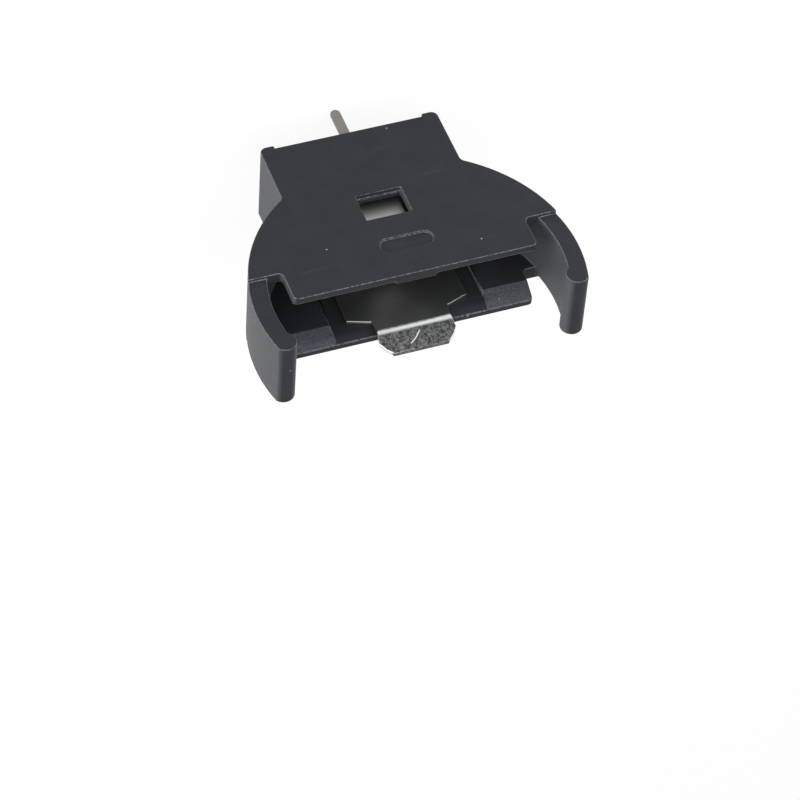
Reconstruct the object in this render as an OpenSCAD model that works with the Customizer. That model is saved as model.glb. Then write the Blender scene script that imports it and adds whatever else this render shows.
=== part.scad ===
// Upright coin cell holder for a circuit board.
// A moulded housing grips the rim of a round cell between two plates and two
// curved arms. A positive and a negative contact are folded from thin strip
// and end in flat solder pins. The board is the plane z = 0, the negative
// side faces -Y, the positive side faces +Y, and all sizes are millimetres.

/* [Cell] */
// Diameter of the cell that the pocket takes
cell_d = 20; // [19.8:0.1:20.2]
// Thickness of the cell
cell_t = 3.2; // [3:0.1:3.3]
// Gap between the rim of the cell and the wall of the pocket
cell_gap = 0.25; // [0.15:0.05:0.35]
// Depth left beside the cell for the spring fingers
spring_room = 0.93; // [0.9:0.01:1]
// Height of the cell's axis above the board
axis_z = 14.55; // [14.4:0.05:14.8]

/* [Housing] */
// Thickness of the round wall and of the arms
wall = 1.3; // [1.2:0.05:1.4]
// Depth of the housing from front face to back face
body_depth = 6.15; // [6.1:0.05:6.4]
// Thickness of the front plate
front_t = 0.87; // [0.8:0.01:0.9]
// Height of the top edge of both plates above the board
plate_top = 14.2; // [13.9:0.1:14.4]
// Width of the front plate between its two notches
front_plate_w = 17.5; // [17.1:0.1:17.7]
// Width of the back plate between its two notches
back_plate_w = 17.8; // [17.4:0.1:18]
// Height at which the front notches end
front_shoulder = 11.6; // [11.4:0.1:11.9]
// Height at which the back notches end
back_shoulder = 11.88; // [11.6:0.02:12]
// How far the arms stand back from the front face
arm_front_step = 0.3; // [0.2:0.05:0.4]
// How far the arms stand back from the back face
arm_back_step = 0.5; // [0.4:0.05:0.6]
// Angle above the cell's axis at which the arms end
arm_angle = 14.7; // [13:0.1:16]
// Width of the base block
base_w = 13.1; // [12.7:0.1:13.5]
// Height of the two foot rails under the base
foot_h = 0.25; // [0.2:0.05:0.3]
// Width of a foot rail
foot_w = 1.1; // [1:0.05:1.15]

/* [Contacts] */
// Thickness of the contact strip
strip_t = 0.3; // [0.25:0.01:0.3]
// Width of a solder pin
pin_w = 0.72; // [0.6:0.02:0.8]
// Length of the outer pins below the board
pin_len = 3; // [2.5:0.1:4]
// Distance between the two outer pins
pin_pitch = 10; // [9.9:0.05:10.2]
// Distance between the row of outer pins and the centre pin
row_pitch = 3.75; // [3.65:0.01:3.85]
// Angle by which the tab leans outwards
tab_lean = 22.8; // [15:0.1:25]

/* [Hidden] */
$fn = 96;

plastic = "#3b3c3f";
tin = "#a9a79e";

// Round wall
pocket_r = cell_d / 2 + cell_gap;
outer_r = pocket_r + wall;
arm_r = pocket_r + wall / 2 - 0.1;
bead_r = 0.8;

// Depth positions: front face, inner faces, back face
front_y = -body_depth / 2;
back_y = body_depth / 2;
pocket_front = front_y + front_t;
pocket_back = pocket_front + cell_t + spring_room;
arm_y0 = front_y + arm_front_step;
arm_y1 = back_y - arm_back_step;

// The positive strip lies 0.03 proud of the plastic beside it
pos_y0 = pocket_back - 0.03;
pos_y1 = pos_y0 + strip_t;
pos_mid = (pos_y0 + pos_y1) / 2;
// The negative strip stands just behind the front plate
neg_mid = pos_mid - row_pitch;
neg_y0 = neg_mid - strip_t / 2;
neg_y1 = neg_mid + strip_t / 2;

// Base
base_x = base_w / 2;
base_corner = 0.5;
front_corner = 0.4;
back_corner = 0.35;
root_r = 0.55;
root_bite = 0.015;
edge_cut = 0.15;
bevel_run = 0.4;
far = 40;

// Window in the front plate, slot in the back plate
window_x = 1.65;
window_z0 = 6.28;
window_z1 = 8.66;
window_step = 0.08;
slot_x = 4.15;
slot_z0 = 1.15;
slot_z1 = 3.25;
loop_notch = 0.5;

// Plus and minus signs, and the two round marks under the base
sign_w = 1.2;
sign_depth = 0.2;
plus_len = 3.75;
plus_z = 11.5;
minus_len = 3.8;
minus_x = -0.3;
minus_z = 11.28;
mark_x = 3.35;
mark_y = -0.07;
mark_d = 0.7;
mark_depth = 0.08;

// Channel for the positive sheet, and the sloped lead-in above it
channel_x = 5.55;
channel_z0 = 5.9;
lead_z = 12.9;
lead_land = 0.5;
front_lead = 0.27;
front_lead_drop = 0.4;
front_tongue_x = 1.5;

// Outline of the positive sheet and its tab
sheet_x = 4.4;
sheet_z0 = 6;
shoulder_z = 12.87;
neck_z = 13.4;
bend_z = plate_top - 0.04;
bend_r = 0.35;
tab_x = 2.68;
tab_wide_x = 2.8;
tab_end_x = 1.97;
tab_wide_at = 1.1;
tab_corner_x = 2.45;
tab_corner_at = 1.62;
tab_len = 2.02;
bar_z0 = 1.3;
bar_z1 = 2.75;

// Loop that joins the sheet to the bar between the pins
loop_x = 0.15;
loop_w = 1.7;
loop_neck_w = 1.34;
loop_z = 2.26;
loop_r = 0.55;
loop_reach = 0.63;

// Negative contact
neg_pin_x = -0.15;
neg_pin_len = pin_len + 0.25;
neg_x = 1.6;
neg_z0 = 4.45;
fork_z = 8.1;
finger_x = 1.6;
finger_w = 1.1;
finger_gap_z = 8.75;
crest_z = 10.4;
crest_rise = 0.63;
bow_r = 3;
ease_r = 1.2;
bow_angle = acos(1 - crest_rise / (bow_r + ease_r));
bow_half = (bow_r + ease_r) * sin(bow_angle);
fit = 0.03;

// Extrudes an outline drawn in X and Z from depth y0 to depth y1
module slab(y0, y1) {
    translate([0, y1, 0]) rotate([90, 0, 0]) linear_extrude(y1 - y0) children();
}

// Extrudes an outline drawn in Y and Z from x0 to x1
module bar(x0, x1) {
    translate([x0, 0, 0]) rotate([90, 0, 90]) linear_extrude(x1 - x0) children();
}

// A block between two opposite corners
module block(low, high) {
    translate(low) cube(high - low);
}

module at_axis() {
    translate([0, axis_z]) children();
}

module both_sides() {
    children();
    mirror([1, 0, 0]) children();
}

// Rectangle with its top corners rounded
module plate_outline(half_w, low, high, r) {
    translate([-half_w, low]) square([2 * half_w, high - low - r]);
    translate([-half_w + r, low]) square([2 * (half_w - r), high - low]);
    both_sides() translate([half_w - r, high - r]) circle(r);
}

// Fillet between the side of the base and the round wall, which it just enters
module root_fillet() {
    reach = outer_r + root_r - root_bite;
    fx = base_x + root_r;
    fz = axis_z - sqrt(reach * reach - fx * fx);
    k = 1 - root_r / reach;
    difference() {
        polygon([
            [base_x, fz],
            [fx * k, axis_z + (fz - axis_z) * k],
            [base_x - 1, axis_z - outer_r * 0.8]
        ]);
        translate([fx, fz]) circle(root_r);
    }
}

// Base block with round lower corners, up to the round wall
module base_outline() {
    top = axis_z - pocket_r;
    translate([-base_x, base_corner]) square([base_w, top - base_corner + 1.2]);
    translate([-base_x + base_corner, 0]) square([base_w - 2 * base_corner, top]);
    both_sides() translate([base_x - base_corner, base_corner]) circle(base_corner);
    both_sides() root_fillet();
}

// Round wall up to a shoulder, with one plate standing on it
module plate_side(half_w, shoulder, corner) {
    intersection() {
        at_axis() circle(outer_r, $fn = 192);
        union() {
            translate([-far / 2, 0]) square([far, shoulder]);
            plate_outline(half_w, shoulder - 1, plate_top, corner);
            both_sides() translate([half_w, shoulder]) difference() {
                square(corner);
                translate([corner, corner]) circle(corner);
            }
        }
    }
    base_outline();
}

// Both curved arms, each with a round bead at its tip
module arms_outline() {
    intersection() {
        at_axis() circle(outer_r, $fn = 192);
        union() {
            difference() {
                at_axis() circle(outer_r + 1, $fn = 192);
                at_axis() circle(pocket_r, $fn = 192);
                at_axis() polygon([
                    [0, 0],
                    [far, far * tan(arm_angle)],
                    [far, far],
                    [-far, far],
                    [-far, far * tan(arm_angle)]
                ]);
                translate([-far / 2, 0]) square([far, front_shoulder - 2]);
            }
            for (side = [-1, 1]) at_axis()
                translate([side * arm_r * cos(arm_angle), arm_r * sin(arm_angle)]) circle(bead_r);
        }
    }
}

// Plus or minus sign: a bar with round ends
module sign_bar(length, width) {
    square([length - width, width], center = true);
    both_sides() translate([(length - width) / 2, 0]) circle(width / 2);
}

module plus_sign() {
    sign_bar(plus_len, sign_w);
    rotate(90) sign_bar(plus_len, sign_w);
}

// Outside of the housing before anything is cut away
module housing_blank() {
    slab(front_y, pocket_front) plate_side(front_plate_w / 2, front_shoulder, front_corner);
    slab(pocket_back, back_y) plate_side(back_plate_w / 2, back_shoulder, back_corner);
    slab(pocket_front - 0.1, pocket_back + 0.1) difference() {
        union() {
            intersection() {
                at_axis() circle(outer_r, $fn = 192);
                translate([-far / 2, 0]) square([far, front_shoulder]);
            }
            base_outline();
        }
        at_axis() circle(pocket_r, $fn = 192);
    }
    slab(arm_y0, arm_y1) arms_outline();
}

// Narrow bevel round the arc of the back plate
module back_bevel() {
    translate([0, back_y, axis_z]) rotate([90, 0, 0]) difference() {
        translate([0, 0, -1]) cylinder(r = outer_r + 1, h = bevel_run + 1.5, $fn = 192);
        translate([0, 0, -2 * bevel_run])
            cylinder(r1 = outer_r - 3 * edge_cut, r2 = outer_r + 3 * edge_cut, h = 6 * bevel_run,
                $fn = 192);
        translate([-far / 2, -outer_r - far + 1.9, -far / 2]) cube(far);
    }
}

// Sloped edges that guide the cell between the plates
module lead_ins() {
    bar(-back_plate_w / 2 - 0.1, back_plate_w / 2 + 0.1) polygon([
        [pocket_back - 0.5, lead_z],
        [pocket_back, lead_z],
        [back_y - lead_land, plate_top],
        [back_y - lead_land, plate_top + 0.1],
        [pocket_back - 0.5, plate_top + 0.1]
    ]);
    both_sides() bar(front_tongue_x, front_plate_w / 2 + 0.1) polygon([
        [pocket_front - front_lead, plate_top + 0.1],
        [pocket_front - front_lead, plate_top],
        [pocket_front, plate_top - front_lead_drop],
        [pocket_front + 0.2, plate_top - front_lead_drop],
        [pocket_front + 0.2, plate_top + 0.1]
    ]);
}

// Window in the front plate, with a small step in its sill
module front_window() {
    mid = front_y + front_t / 2;
    block([-window_x, front_y - 1, window_z0], [window_x, mid, window_z1]);
    block([-window_x, mid - 0.1, window_z0 + window_step], [window_x, pocket_front + 0.1, window_z1]);
}

// Seat of the positive contact: channel, slit, slot and pin holes
module positive_seat() {
    neck = loop_neck_w / 2 + fit;
    block([-channel_x, pocket_back - 1, channel_z0], [channel_x, pos_y1, plate_top + 1]);
    block([loop_x - neck, pos_y0 - fit, slot_z0], [loop_x + neck, pos_y1, channel_z0 + 0.1]);
    block([-slot_x, pos_y0 - fit, slot_z0], [slot_x, back_y + 1, slot_z1]);
    block([loop_x - neck, pos_y1 - 0.1, slot_z1 - 0.1], [loop_x + neck, back_y - 0.18,
        slot_z1 + loop_notch]);
    both_sides() {
        bar_end = pin_pitch / 2 + pin_w / 2 + fit;
        block([slot_x - 0.2, pos_y0 - fit, -1], [bar_end, pos_y1, bar_z1 + fit]);
        block([slot_x - 0.2, pos_y0 - fit, -1], [bar_end, pos_y1 + 0.12, 1]);
    }
}

// Slit that holds the pin of the negative contact
module negative_seat() {
    slit_x = neg_pin_x + 0.1;
    block([slit_x - 0.54, neg_y0, -1], [slit_x + 0.54, neg_y1 + fit, axis_z - pocket_r + 1]);
}

module underside() {
    block([-base_x + foot_w, -far, -1], [base_x - foot_w, far, foot_h]);
    both_sides() translate([mark_x, mark_y, foot_h - 0.01])
        cylinder(d = mark_d, h = mark_depth + 0.01, $fn = 32);
}

module housing() {
    color(plastic) difference() {
        housing_blank();
        back_bevel();
        lead_ins();
        front_window();
        positive_seat();
        negative_seat();
        underside();
        slab(front_y - 1, front_y + sign_depth) translate([minus_x, minus_z]) sign_bar(minus_len,
            sign_w);
        slab(back_y - sign_depth, back_y + 1) translate([0, plus_z]) plus_sign();
    }
}

// Side view of the sheet: upright, a bend, then the leaning tab
module sheet_profile() {
    inner = bend_r;
    outer = bend_r + strip_t;
    translate([pos_y0, 0]) square([strip_t, bend_z]);
    translate([pos_y0 + outer, bend_z]) {
        intersection() {
            difference() {
                circle(outer);
                circle(inner);
            }
            polygon([[0, 0], [-2 * outer, 0], [-2 * outer, 2 * outer * tan(tab_lean)]]);
        }
        rotate(-tab_lean) translate([-outer, 0]) square([strip_t, 3]);
    }
}

// Front view of the sheet and its tab
module sheet_outline() {
    rise = cos(tab_lean);
    half = [
        [sheet_x, sheet_z0],
        [sheet_x, shoulder_z],
        [tab_wide_x, neck_z],
        [tab_x, bend_z],
        [tab_wide_x, bend_z + tab_wide_at * rise],
        [tab_corner_x, bend_z + tab_corner_at * rise],
        [tab_end_x, bend_z + tab_len * rise]
    ];
    count = len(half);
    polygon(concat(half, [for (i = [count - 1 : -1 : 0]) [-half[i].x, half[i].y]]));
}

// Side view of the loop: out of the slot, round, and back in
module loop_profile() {
    centre_y = pos_y1 + loop_reach - loop_r;
    translate([centre_y, loop_z]) intersection() {
        difference() {
            circle(loop_r, $fn = 48);
            circle(loop_r - strip_t, $fn = 48);
        }
        translate([0, -loop_r]) square(2 * loop_r);
    }
    for (low = [loop_z - loop_r, loop_z + loop_r - strip_t])
        translate([pos_mid, low]) square([centre_y - pos_mid, strip_t]);
}

// Flat pin with a round tip and a pressed groove in its back face
module pin(x, y0, tip_z, top_z) {
    r = pin_w / 2;
    groove = 0.12;
    groove_half = 0.24;
    difference() {
        slab(y0, y0 + strip_t) translate([x, tip_z + r]) {
            circle(r, $fn = 48);
            translate([-r, 0]) square([pin_w, top_z - tip_z - r]);
        }
        translate([x, y0 + strip_t, tip_z + pin_len * 0.38]) linear_extrude(pin_len * 0.62 + 0.3)
            polygon([[-groove_half, 0.1], [-groove_half, 0], [0, -groove], [groove_half, 0],
                [groove_half, 0.1]]);
    }
}

module positive_contact() {
    color(tin) {
        intersection() {
            slab(pos_y0 - 1, back_y + 2) sheet_outline();
            bar(-sheet_x, sheet_x) sheet_profile();
        }
        loop_left = loop_x - loop_neck_w / 2;
        block([loop_left, pos_y0, loop_z + loop_r - strip_t], [loop_left + loop_neck_w, pos_y1,
            sheet_z0]);
        bar(loop_x - loop_w / 2, loop_x + loop_w / 2) loop_profile();
        pins_x = pin_pitch / 2 + pin_w / 2;
        difference() {
            block([-pins_x, pos_y0, bar_z0], [pins_x, pos_y1, bar_z1]);
            block([loop_x - loop_w / 2, pos_y0 - 1, loop_z - loop_r + strip_t],
                [loop_x + loop_w / 2, pos_y1 + 1, bar_z1 + 1]);
        }
        for (side = [-1, 1]) pin(side * pin_pitch / 2, pos_y0, -pin_len, bar_z0 + 0.1);
    }
}

// Side view of the bow of a finger, whose crest presses on the cell
module bow_profile() {
    translate([neg_mid + crest_rise - bow_r, crest_z]) intersection() {
        difference() {
            circle(bow_r + strip_t / 2);
            circle(bow_r - strip_t / 2);
        }
        polygon([[0, 0], [2 * bow_r, 2 * bow_r * tan(bow_angle)], [2 * bow_r,
            -2 * bow_r * tan(bow_angle)]]);
    }
}

// Side view of the bend that leads from the strip into the bow
module ease_profile() {
    translate([neg_mid + ease_r, -bow_half]) intersection() {
        difference() {
            circle(ease_r + strip_t / 2);
            circle(ease_r - strip_t / 2);
        }
        polygon([[0, 0], [-2 * ease_r, 0], [-2 * ease_r, 2 * ease_r * tan(bow_angle)]]);
    }
}

module finger(x) {
    low = x - finger_w / 2;
    high = x + finger_w / 2;
    bar(low, high) bow_profile();
    for (end = [0, 1])
        translate([0, 0, crest_z]) mirror([0, 0, end]) bar(low, high) ease_profile();
    block([low, neg_y0, fork_z - 0.1], [high, neg_y1, crest_z - bow_half]);
}

module negative_contact() {
    wide = finger_x + finger_w / 2;
    color(tin) {
        pin(neg_pin_x, neg_y0, -neg_pin_len, neg_z0 + 0.1);
        slab(neg_y0, neg_y1) polygon([
            [-neg_x, neg_z0],
            [neg_x, neg_z0],
            [neg_x, fork_z - 0.5],
            [wide, fork_z],
            [wide, finger_gap_z],
            [-wide, finger_gap_z],
            [-wide, fork_z],
            [-neg_x, fork_z - 0.5]
        ]);
        for (side = [-1, 1]) finger(side * finger_x);
    }
}

housing();
positive_contact();
negative_contact();
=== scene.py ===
import math

import bmesh
import bpy
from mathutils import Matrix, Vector


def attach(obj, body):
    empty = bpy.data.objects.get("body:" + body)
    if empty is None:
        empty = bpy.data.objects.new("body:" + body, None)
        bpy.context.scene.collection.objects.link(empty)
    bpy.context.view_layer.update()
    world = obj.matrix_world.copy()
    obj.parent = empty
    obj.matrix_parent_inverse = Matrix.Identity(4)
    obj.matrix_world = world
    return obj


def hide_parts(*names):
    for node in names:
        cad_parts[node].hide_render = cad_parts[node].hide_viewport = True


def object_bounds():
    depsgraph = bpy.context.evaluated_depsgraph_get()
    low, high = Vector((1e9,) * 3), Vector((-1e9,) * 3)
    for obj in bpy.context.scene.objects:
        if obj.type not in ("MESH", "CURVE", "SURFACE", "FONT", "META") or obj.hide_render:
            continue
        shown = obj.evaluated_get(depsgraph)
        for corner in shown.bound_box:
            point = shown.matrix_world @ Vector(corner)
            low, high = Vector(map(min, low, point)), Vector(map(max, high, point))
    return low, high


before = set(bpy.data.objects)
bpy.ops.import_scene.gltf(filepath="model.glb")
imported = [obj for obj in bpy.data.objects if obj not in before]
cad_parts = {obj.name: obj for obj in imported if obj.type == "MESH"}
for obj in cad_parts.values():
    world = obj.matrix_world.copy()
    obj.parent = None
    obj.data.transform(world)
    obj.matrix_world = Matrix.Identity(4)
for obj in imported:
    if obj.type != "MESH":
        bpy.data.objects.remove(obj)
cad_low, cad_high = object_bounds()
MM = 0.001

# ---------------------------------------------------------------- housing
# The housing is one injection moulding in glass-filled nylon, dyed charcoal.
# Its mould was spark-eroded, so the faces have a fine matt grain, and every
# edge is eased a little where the steel could not be perfectly sharp.

HOUSING_EDGE = 0.12 * MM       # width of an eased edge
SAME_PLACE = 0.001 * MM        # corners closer than this are one corner
FLAT_ANGLE = 0.4               # faces that meet at fewer degrees than this are one face
SHARP_ANGLE = 38               # edges that turn by more degrees than this are eased
GRAIN = 0.10 * MM              # size of the spark grain, drawn a little coarse so that it shows
GRAIN_DEPTH = 0.012 * MM
PAD_GRAIN = 0.16 * MM          # the pads and the flanks were eroded more coarsely
PAD_GRAIN_DEPTH = 0.04 * MM
PAD_LOW = 12.85 * MM           # the pads start at this height,
PAD_BACK = 1.9 * MM            # lie behind this depth
PAD_SIDE = 5.5 * MM            # and outside this distance from the middle
CLOUD = 1.6 * MM               # size of the faint patches where the glass fibre lies near the skin
SPECK_SPACING = 1.3 * MM       # average distance between the places for a speck of dust
SPECK_RADIUS = 0.045           # as a part of that distance
SPECK_RARITY = 0.72            # this share of the places stays clean
HAIRLINE_LENGTH = 3.0 * MM
HAIRLINE_WIDTH = 0.05 * MM
HAIRLINE_TURN = (0.3, 0.55, 0.2)
HAIRLINE_STRENGTH = 0.10


def linear(colour):
    """The linear RGBA value of an sRGB hex colour."""
    parts = [int(colour[i:i + 2], 16) / 255 for i in (1, 3, 5)]
    return [c / 12.92 if c <= 0.04045 else ((c + 0.055) / 1.055) ** 2.4 for c in parts] + [1.0]


def add(tree, kind, inputs=None, **settings):
    """Adds a node with its settings; an input is either a socket to link or a value."""
    made = tree.nodes.new(kind)
    for name, value in settings.items():
        setattr(made, name, value)
    for key, value in (inputs or {}).items():
        if isinstance(value, bpy.types.NodeSocket):
            tree.links.new(value, made.inputs[key])
        else:
            made.inputs[key].default_value = value
    return made


def new_material(name):
    """An empty material and its node tree."""
    material = bpy.data.materials.new(name)
    material.use_nodes = True
    material.node_tree.nodes.clear()
    return material, material.node_tree


def eased_copy(node, width, segments):
    """A copy of a CAD node with its flat faces joined and its edges rounded."""
    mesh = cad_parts[node].data.copy()
    mesh.name = node + "_eased"
    mesh.materials.clear()
    shape = bmesh.new()
    shape.from_mesh(mesh)
    bmesh.ops.remove_doubles(shape, verts=shape.verts, dist=SAME_PLACE)
    bmesh.ops.dissolve_limit(shape, angle_limit=math.radians(FLAT_ANGLE),
                             verts=shape.verts, edges=shape.edges)
    for face in shape.faces:
        face.smooth = True
    shape.to_mesh(mesh)
    shape.free()
    if "custom_normal" in mesh.attributes:
        mesh.attributes.remove(mesh.attributes["custom_normal"])
    piece = bpy.data.objects.new(node + "_piece", mesh)
    bpy.context.scene.collection.objects.link(piece)
    bevel = piece.modifiers.new("edges", "BEVEL")
    bevel.width = width
    bevel.segments = segments
    bevel.limit_method = "ANGLE"
    bevel.angle_limit = math.radians(SHARP_ANGLE)
    bevel.use_clamp_overlap = False
    bevel.miter_outer = "MITER_SHARP"
    normals = piece.modifiers.new("normals", "WEIGHTED_NORMAL")
    normals.mode = "FACE_AREA"
    normals.weight = 100
    return piece


# Spark-eroded nylon: matt and almost black, with a dry grain that catches
# side light, a few specks of dust and hairline scuffs, rougher pads, a painted sheen on the flanks
# and a painted highlight on the eased edges.
nylon, tree = new_material("charcoal_nylon")
point = add(tree, "ShaderNodeTexCoord")
place = point.outputs["Object"]
axes = add(tree, "ShaderNodeSeparateXYZ", {0: place})
facing = add(tree, "ShaderNodeSeparateXYZ", {0: point.outputs["Normal"]})
grain = add(tree, "ShaderNodeTexNoise",
            {"Vector": place, "Scale": 1 / GRAIN, "Detail": 3.0, "Roughness": 0.6})
coarse = add(tree, "ShaderNodeTexNoise",
             {"Vector": place, "Scale": 1 / PAD_GRAIN, "Detail": 2.0, "Roughness": 0.7})
cloud = add(tree, "ShaderNodeTexNoise",
            {"Vector": place, "Scale": 1 / CLOUD, "Detail": 4.0, "Roughness": 0.55})

# The pads are the outer parts of the back plate's inner face, near its top edge
side = add(tree, "ShaderNodeMath", {0: axes.outputs["X"]}, operation="ABSOLUTE")
forward = add(tree, "ShaderNodeMath", {0: facing.outputs["Y"], 1: -0.5}, operation="LESS_THAN")
pad = forward.outputs[0]
for socket, limit in ((side.outputs[0], PAD_SIDE), (axes.outputs["Y"], PAD_BACK),
                      (axes.outputs["Z"], PAD_LOW)):
    past = add(tree, "ShaderNodeMath", {0: socket, 1: limit}, operation="GREATER_THAN").outputs[0]
    pad = add(tree, "ShaderNodeMath", {0: pad, 1: past}, operation="MULTIPLY").outputs[0]

# A speck of dust is a dot in some of the cells
cells = add(tree, "ShaderNodeTexVoronoi",
            {"Vector": place, "Scale": 1 / SPECK_SPACING, "Randomness": 1.0})
near = add(tree, "ShaderNodeMath", {0: cells.outputs["Distance"], 1: SPECK_RADIUS},
           operation="LESS_THAN")
pick = add(tree, "ShaderNodeSeparateColor", {0: cells.outputs["Color"]})
chosen = add(tree, "ShaderNodeMath", {0: pick.outputs[0], 1: SPECK_RARITY},
             operation="GREATER_THAN")
speck = add(tree, "ShaderNodeMath", {0: near.outputs[0], 1: chosen.outputs[0]},
            operation="MULTIPLY")

# The hairlines are noise stretched across the faces, of which only the peaks show
turned = add(tree, "ShaderNodeMapping",
             {"Vector": place, "Rotation": HAIRLINE_TURN,
              "Scale": (1 / HAIRLINE_LENGTH, 1 / HAIRLINE_LENGTH, 1 / HAIRLINE_WIDTH)})
streak = add(tree, "ShaderNodeTexNoise",
             {"Vector": turned.outputs[0], "Scale": 0.35, "Detail": 1.0})
hairline = add(tree, "ShaderNodeMapRange",
               {"Value": streak.outputs["Fac"], "From Min": 0.77, "From Max": 0.80})
hairline = add(tree, "ShaderNodeMath", {0: hairline.outputs[0], 1: HAIRLINE_STRENGTH},
               operation="MULTIPLY")
blemish = add(tree, "ShaderNodeMath", {0: hairline.outputs[0], 1: speck.outputs[0]},
              operation="MAXIMUM")

# The flanks get a coarser grain and a painted sheen, which makes them paler than the two faces
flank_sheen_and_grain = add(tree, "ShaderNodeMath", {0: facing.outputs["X"]}, operation="ABSOLUTE")
flank_sheen_and_grain = add(tree, "ShaderNodeMapRange",
            {"Value": flank_sheen_and_grain.outputs[0], "From Min": 0.45, "From Max": 0.85}).outputs[0]
coarser = add(tree, "ShaderNodeMath", {0: flank_sheen_and_grain, 1: pad}, operation="MAXIMUM").outputs[0]

# The eased edges round the faces get a painted highlight, which the grain breaks up
tilt = add(tree, "ShaderNodeMath", {0: facing.outputs["Y"]}, operation="ABSOLUTE").outputs[0]
rising = add(tree, "ShaderNodeMapRange", {"Value": tilt, "From Min": 0.20, "From Max": 0.42})
falling = add(tree, "ShaderNodeMapRange", {"Value": tilt, "From Min": 0.82, "From Max": 0.70})
broken = add(tree, "ShaderNodeMapRange",
             {"Value": coarse.outputs["Fac"], "From Min": 0.35, "From Max": 0.62})
painted_edge_highlight = add(tree, "ShaderNodeMath", {0: rising.outputs[0], 1: falling.outputs[0]},
           operation="MULTIPLY")
painted_edge_highlight = add(tree, "ShaderNodeMath", {0: painted_edge_highlight.outputs[0], 1: broken.outputs[0]},
           operation="MULTIPLY").outputs[0]

body = add(tree, "ShaderNodeMix", {0: cloud.outputs["Fac"], 6: linear("#202124"),
           7: linear("#2c2d31")}, data_type="RGBA")
pale = add(tree, "ShaderNodeMix", {0: coarse.outputs["Fac"], 6: linear("#2a2b2e"),
           7: linear("#64656b")}, data_type="RGBA")
# Over the body colour lie a painted sheen on the flanks, the paler pads, a painted highlight on the
# eased edges, and the specks and hairlines
for share, over in ((flank_sheen_and_grain, linear("#4a4b4e")), (pad, pale.outputs[2]), (painted_edge_highlight, linear("#6b6c70")),
                    (blemish.outputs[0], linear("#8a8a8d"))):
    body = add(tree, "ShaderNodeMix", {0: share, 6: body.outputs[2], 7: over}, data_type="RGBA")
rough = add(tree, "ShaderNodeMapRange",
            {"Value": cloud.outputs["Fac"], "To Min": 0.46, "To Max": 0.60})

# The coarse grain is as deep as the flank and pad masks say, over the fine grain
depth = add(tree, "ShaderNodeMapRange", {"Value": coarser, "To Min": 0.0, "To Max": PAD_GRAIN_DEPTH})
deep = add(tree, "ShaderNodeMath", {0: coarse.outputs["Fac"], 1: depth.outputs[0]},
           operation="MULTIPLY")
shallow = add(tree, "ShaderNodeMath", {0: grain.outputs["Fac"], 1: GRAIN_DEPTH},
              operation="MULTIPLY")
height = add(tree, "ShaderNodeMath", {0: deep.outputs[0], 1: shallow.outputs[0]}, operation="ADD")
relief = add(tree, "ShaderNodeBump",
             {"Strength": 1.0, "Distance": 1.0, "Height": height.outputs[0]})
shader = add(tree, "ShaderNodeBsdfPrincipled",
             {"Base Color": body.outputs[2], "Roughness": rough.outputs[0],
              "Normal": relief.outputs[0], "IOR": 1.5, "Specular IOR Level": 0.14})
add(tree, "ShaderNodeOutputMaterial", {"Surface": shader.outputs[0]})

housing = eased_copy("housing", HOUSING_EDGE, 3)
housing.data.materials.append(nylon)
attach(housing, "root")
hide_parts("housing")

# ---------------------------------------------------------------- contacts
# Both contacts are stamped and folded from 0.3 mm spring strip and plated
# with matt tin. The presses leave the pins and bar dull, the sheet in the
# pocket is smooth, and the tab outside has been rubbed, so it is bright.

STRIP_EDGE = 0.045 * MM        # width of an eased edge
RUB = 0.20 * MM                # size of the rubbed patches on the tab
DRAW_LENGTH = 2.5 * MM         # rolling marks along the strip
DRAW_WIDTH = 0.06 * MM
DRAW_TURN = (0.0, 0.08, 0.0)
PLATING_GRAIN = 0.05 * MM
SHEET_RELIEF = 0.0005 * MM     # depth of the marks on the smooth sheet
DULL_RELIEF = 0.006 * MM       # and on the tab, the bar and the pins
TAB_Z = 14.15 * MM             # the tab starts at this height
TAB_FADE = 0.12 * MM
BEND_TOP = 0.52 * MM           # and its bend ends this far above that
BEND_FADE = 0.16 * MM
PIN_Z = 4.3 * MM               # below this height the strips are dull
PIN_FADE = 0.2 * MM
SCRATCH_START = (0.65 * MM, 15.60 * MM)
SCRATCH_END = (-0.25 * MM, 14.90 * MM)
SCRATCH_HALF_WIDTH = 0.035 * MM
SCRATCH_SWING = 0.05 * MM      # how far the scratch waves to either side
SCRATCH_WAVES = 4.0            # its waves along its length, in radians

# Matt tin plate: soft grey metal with faint rolling marks, bright where it
# has been rubbed or scratched, with a painted highlight on the tab's bend and cut edges.
tin, tree = new_material("matt_tin_plate")
point = add(tree, "ShaderNodeTexCoord")
place = point.outputs["Object"]
axes = add(tree, "ShaderNodeSeparateXYZ", {0: place})
facing = add(tree, "ShaderNodeSeparateXYZ", {0: point.outputs["Normal"]})
tab = add(tree, "ShaderNodeMapRange",
          {"Value": axes.outputs["Z"], "From Min": TAB_Z, "From Max": TAB_Z + TAB_FADE}).outputs[0]
pins = add(tree, "ShaderNodeMapRange",
           {"Value": axes.outputs["Z"], "From Min": PIN_Z, "From Max": PIN_Z - PIN_FADE}).outputs[0]
rubbed = add(tree, "ShaderNodeTexNoise", {"Vector": place, "Scale": 1 / RUB, "Detail": 7.0,
             "Roughness": 0.68, "Distortion": 0.8})
patch = add(tree, "ShaderNodeMapRange",
            {"Value": rubbed.outputs["Fac"], "From Min": 0.42, "From Max": 0.68}).outputs[0]

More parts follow.
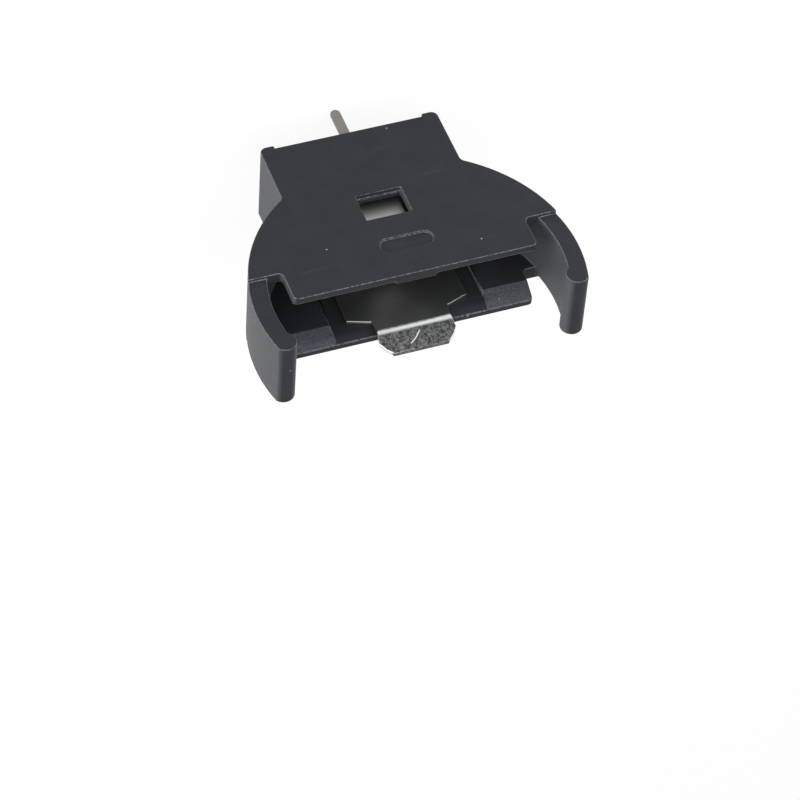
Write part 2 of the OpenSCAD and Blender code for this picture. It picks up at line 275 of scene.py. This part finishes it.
# The bend and the cut edges of the tab get a painted highlight
painted_cut_highlight = add(tree, "ShaderNodeMath", {0: facing.outputs["X"]}, operation="ABSOLUTE")
painted_cut_highlight = add(tree, "ShaderNodeMapRange",
          {"Value": painted_cut_highlight.outputs[0], "From Min": 0.12, "From Max": 0.35})
painted_bend_highlight = add(tree, "ShaderNodeMapRange", {"Value": axes.outputs["Z"],
           "From Min": TAB_Z + BEND_TOP, "From Max": TAB_Z + BEND_TOP - BEND_FADE})
highlight_and_scratch = add(tree, "ShaderNodeMath", {0: painted_cut_highlight.outputs[0], 1: painted_bend_highlight.outputs[0]}, operation="MAXIMUM")

# One scratch runs slantwise over the tab, from near its tip towards its middle
run_x = SCRATCH_END[0] - SCRATCH_START[0]
run_z = SCRATCH_END[1] - SCRATCH_START[1]
run = math.hypot(run_x, run_z)
from_x = add(tree, "ShaderNodeMath", {0: axes.outputs["X"], 1: SCRATCH_START[0]},
             operation="SUBTRACT")
from_z = add(tree, "ShaderNodeMath", {0: axes.outputs["Z"], 1: SCRATCH_START[1]},
             operation="SUBTRACT")
offset = add(tree, "ShaderNodeCombineXYZ", {"X": from_x.outputs[0], "Y": from_z.outputs[0]})
down = add(tree, "ShaderNodeVectorMath",
           {0: offset.outputs[0], 1: (run_x / run, run_z / run, 0)},
           operation="DOT_PRODUCT").outputs["Value"]
across = add(tree, "ShaderNodeVectorMath",
             {0: offset.outputs[0], 1: (-run_z / run, run_x / run, 0)}, operation="DOT_PRODUCT")
wave = add(tree, "ShaderNodeMath", {0: down, 1: SCRATCH_WAVES / run}, operation="MULTIPLY")
wave = add(tree, "ShaderNodeMath", {0: wave.outputs[0]}, operation="SINE")
wave = add(tree, "ShaderNodeMath", {0: wave.outputs[0], 1: SCRATCH_SWING}, operation="MULTIPLY")
across = add(tree, "ShaderNodeMath", {0: across.outputs["Value"], 1: wave.outputs[0]},
             operation="ADD")
across = add(tree, "ShaderNodeMath", {0: across.outputs[0]}, operation="ABSOLUTE")
line = add(tree, "ShaderNodeMath", {0: across.outputs[0], 1: SCRATCH_HALF_WIDTH},
           operation="LESS_THAN")
for end, compare in ((0.0, "GREATER_THAN"), (run, "LESS_THAN")):
    inside = add(tree, "ShaderNodeMath", {0: down, 1: end}, operation=compare)
    line = add(tree, "ShaderNodeMath", {0: line.outputs[0], 1: inside.outputs[0]},
               operation="MULTIPLY")
highlight_and_scratch = add(tree, "ShaderNodeMath", {0: highlight_and_scratch.outputs[0], 1: line.outputs[0]}, operation="MAXIMUM")
highlight_and_scratch = add(tree, "ShaderNodeMath", {0: highlight_and_scratch.outputs[0], 1: tab}, operation="MULTIPLY")

# The rolling marks run along the strip, over the grain of the plating
along = add(tree, "ShaderNodeMapping",
            {"Vector": place, "Rotation": DRAW_TURN,
             "Scale": (1 / DRAW_LENGTH, 1 / DRAW_WIDTH, 1 / DRAW_WIDTH)})
drawn = add(tree, "ShaderNodeTexNoise",
            {"Vector": along.outputs[0], "Scale": 1.0, "Detail": 2.0})
fine = add(tree, "ShaderNodeTexNoise",
           {"Vector": place, "Scale": 1 / PLATING_GRAIN, "Detail": 2.0})

wear_and_highlight = add(tree, "ShaderNodeMix",
           {0: patch, 6: linear("#3c3c3b"), 7: linear("#8d8d8b")}, data_type="RGBA")
# The painted highlight on the bend and cut edges, and the real scratch, lie over the rubbed patches
wear_and_highlight = add(tree, "ShaderNodeMix",
           {0: highlight_and_scratch.outputs[0], 6: wear_and_highlight.outputs[2], 7: linear("#e6e5e1")}, data_type="RGBA")
dull = add(tree, "ShaderNodeMix",
           {0: drawn.outputs["Fac"], 6: linear("#6c6a63"), 7: linear("#a29f95")},
           data_type="RGBA")
colour = add(tree, "ShaderNodeMix",
             {0: tab, 6: linear("#adaeab"), 7: wear_and_highlight.outputs[2]}, data_type="RGBA")
colour = add(tree, "ShaderNodeMix",
             {0: pins, 6: colour.outputs[2], 7: dull.outputs[2]}, data_type="RGBA")
tab_rough = add(tree, "ShaderNodeMapRange", {"Value": patch, "To Min": 0.42, "To Max": 0.22})
rough = add(tree, "ShaderNodeMix", {0: tab, 2: 0.38, 3: tab_rough.outputs[0]}, data_type="FLOAT")
rough = add(tree, "ShaderNodeMix", {0: pins, 2: rough.outputs[0], 3: 0.42}, data_type="FLOAT")
marks = add(tree, "ShaderNodeMath", {0: drawn.outputs["Fac"], 1: fine.outputs["Fac"]},
            operation="ADD")
marked = add(tree, "ShaderNodeMath", {0: tab, 1: pins}, operation="MAXIMUM")
depth = add(tree, "ShaderNodeMapRange",
            {"Value": marked.outputs[0], "To Min": SHEET_RELIEF, "To Max": DULL_RELIEF})
height = add(tree, "ShaderNodeMath", {0: marks.outputs[0], 1: depth.outputs[0]},
             operation="MULTIPLY")
relief = add(tree, "ShaderNodeBump",
             {"Strength": 1.0, "Distance": 1.0, "Height": height.outputs[0]})
shader = add(tree, "ShaderNodeBsdfPrincipled",
             {"Base Color": colour.outputs[2], "Metallic": 1.0,
              "Roughness": rough.outputs[0], "Normal": relief.outputs[0]})
add(tree, "ShaderNodeOutputMaterial", {"Surface": shader.outputs[0]})

for name in ("positive_contact", "negative_contact"):
    contact = eased_copy(name, STRIP_EDGE, 2)
    contact.data.materials.append(tin)
    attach(contact, "root")
    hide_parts(name)

# ---------------------------------------------------------------- table
# The holder stands on its pins on a plain white table. To the camera, and
# in reflections, the table is nearly its own light, and it keeps the shadow.

TABLE_SIZE = 3.0               # in metres
TABLE_GAP = 0.02 * MM          # between the tips of the pins and the table
OWN_LIGHT = 0.9


def seen_directly(tree):
    """A socket that is 1 for rays from the camera, in a reflection or through glass."""
    rays = add(tree, "ShaderNodeLightPath")
    seen = add(tree, "ShaderNodeMath", {0: rays.outputs["Is Camera Ray"],
               1: rays.outputs["Is Glossy Ray"]}, operation="MAXIMUM")
    seen = add(tree, "ShaderNodeMath", {0: seen.outputs[0],
               1: rays.outputs["Is Transmission Ray"]}, operation="MAXIMUM")
    return seen.outputs[0]


white, tree = new_material("white_table")
share = add(tree, "ShaderNodeMath", {0: seen_directly(tree), 1: OWN_LIGHT}, operation="MULTIPLY")
matt = add(tree, "ShaderNodeBsdfDiffuse", {"Color": linear("#f6f6f6")})
glow = add(tree, "ShaderNodeEmission", {"Color": linear("#ffffff"), "Strength": 1.0})
both = add(tree, "ShaderNodeMixShader",
           {0: share.outputs[0], 1: matt.outputs[0], 2: glow.outputs[0]})
add(tree, "ShaderNodeOutputMaterial", {"Surface": both.outputs[0]})

half = TABLE_SIZE / 2
corners = [(-half, -half, 0), (half, -half, 0), (half, half, 0), (-half, half, 0)]
sheet = bpy.data.meshes.new("table")
sheet.from_pydata(corners, [], [(0, 1, 2, 3)])
sheet.materials.append(white)
table = bpy.data.objects.new("table", sheet)
table.location.z = cad_low.z - TABLE_GAP
bpy.context.scene.collection.objects.link(table)

# ---------------------------------------------------------------- light
# A soft lamp stands to the side, a weaker one above the front and a small
# cool one close on the other side, in a light tent whose walls are the world.

AROUND = 0.62                  # light from the walls

# Name, direction from the holder, distance and size in metres, level, tint
LAMPS = (
    ("side_lamp", (1.0, -0.35, 0.35), 0.25, 0.16, 0.80, "#ffffff"),
    ("front_lamp", (0.1, -0.7, 1.1), 0.30, 0.20, 0.45, "#ffffff"),
    ("cool_lamp", (-1.0, -0.75, 0.55), 0.06, 0.04, 0.50, "#d5e4ff"),
)

world = bpy.data.worlds.new("light_tent")
world.use_nodes = True
bpy.context.scene.world = world
tree = world.node_tree
tree.nodes.clear()
strength = add(tree, "ShaderNodeMapRange",
               {"Value": seen_directly(tree), "To Min": AROUND, "To Max": 1.0})
wall = add(tree, "ShaderNodeBackground",
           {"Color": linear("#ffffff"), "Strength": strength.outputs[0]})
add(tree, "ShaderNodeOutputWorld", {"Surface": wall.outputs[0]})

middle = (cad_low + cad_high) / 2
for name, direction, distance, size, level, tint in LAMPS:
    lamp = bpy.data.lights.new(name, "AREA")
    lamp.size = size
    lamp.color = linear(tint)[:3]
    # A level of 1 lights a white face at this distance to white
    lamp.energy = level * (math.pi * distance) ** 2
    holder = bpy.data.objects.new(name, lamp)
    away = Vector(direction).normalized()
    holder.location = middle + away * distance
    holder.rotation_mode = "QUATERNION"
    holder.rotation_quaternion = away.to_track_quat("Z", "Y")
    bpy.context.scene.collection.objects.link(holder)

# ---------------------------------------------------------------- camera
# The holder is seen from in front and above, with the camera turned almost
# upside down, so that the arms point down in the picture.

LENS = 165.99                            # in millimetres, on a 36 mm sensor
CAMERA_PLACE = (67.96, -184.48, 170.36)  # in millimetres
CAMERA_TURN = (-50.005, -19.859, -176.778)  # in degrees

eye = bpy.data.cameras.new("camera")
eye.sensor_width = 36.0
eye.lens = LENS
eye.clip_start = 0.01
eye.clip_end = 10.0
camera = bpy.data.objects.new("camera", eye)
camera.location = Vector(CAMERA_PLACE) * MM
camera.rotation_mode = "XYZ"
camera.rotation_euler = [math.radians(angle) for angle in CAMERA_TURN]
bpy.context.scene.collection.objects.link(camera)
bpy.context.scene.camera = camera
bpy.context.scene.view_settings.view_transform = "Standard"
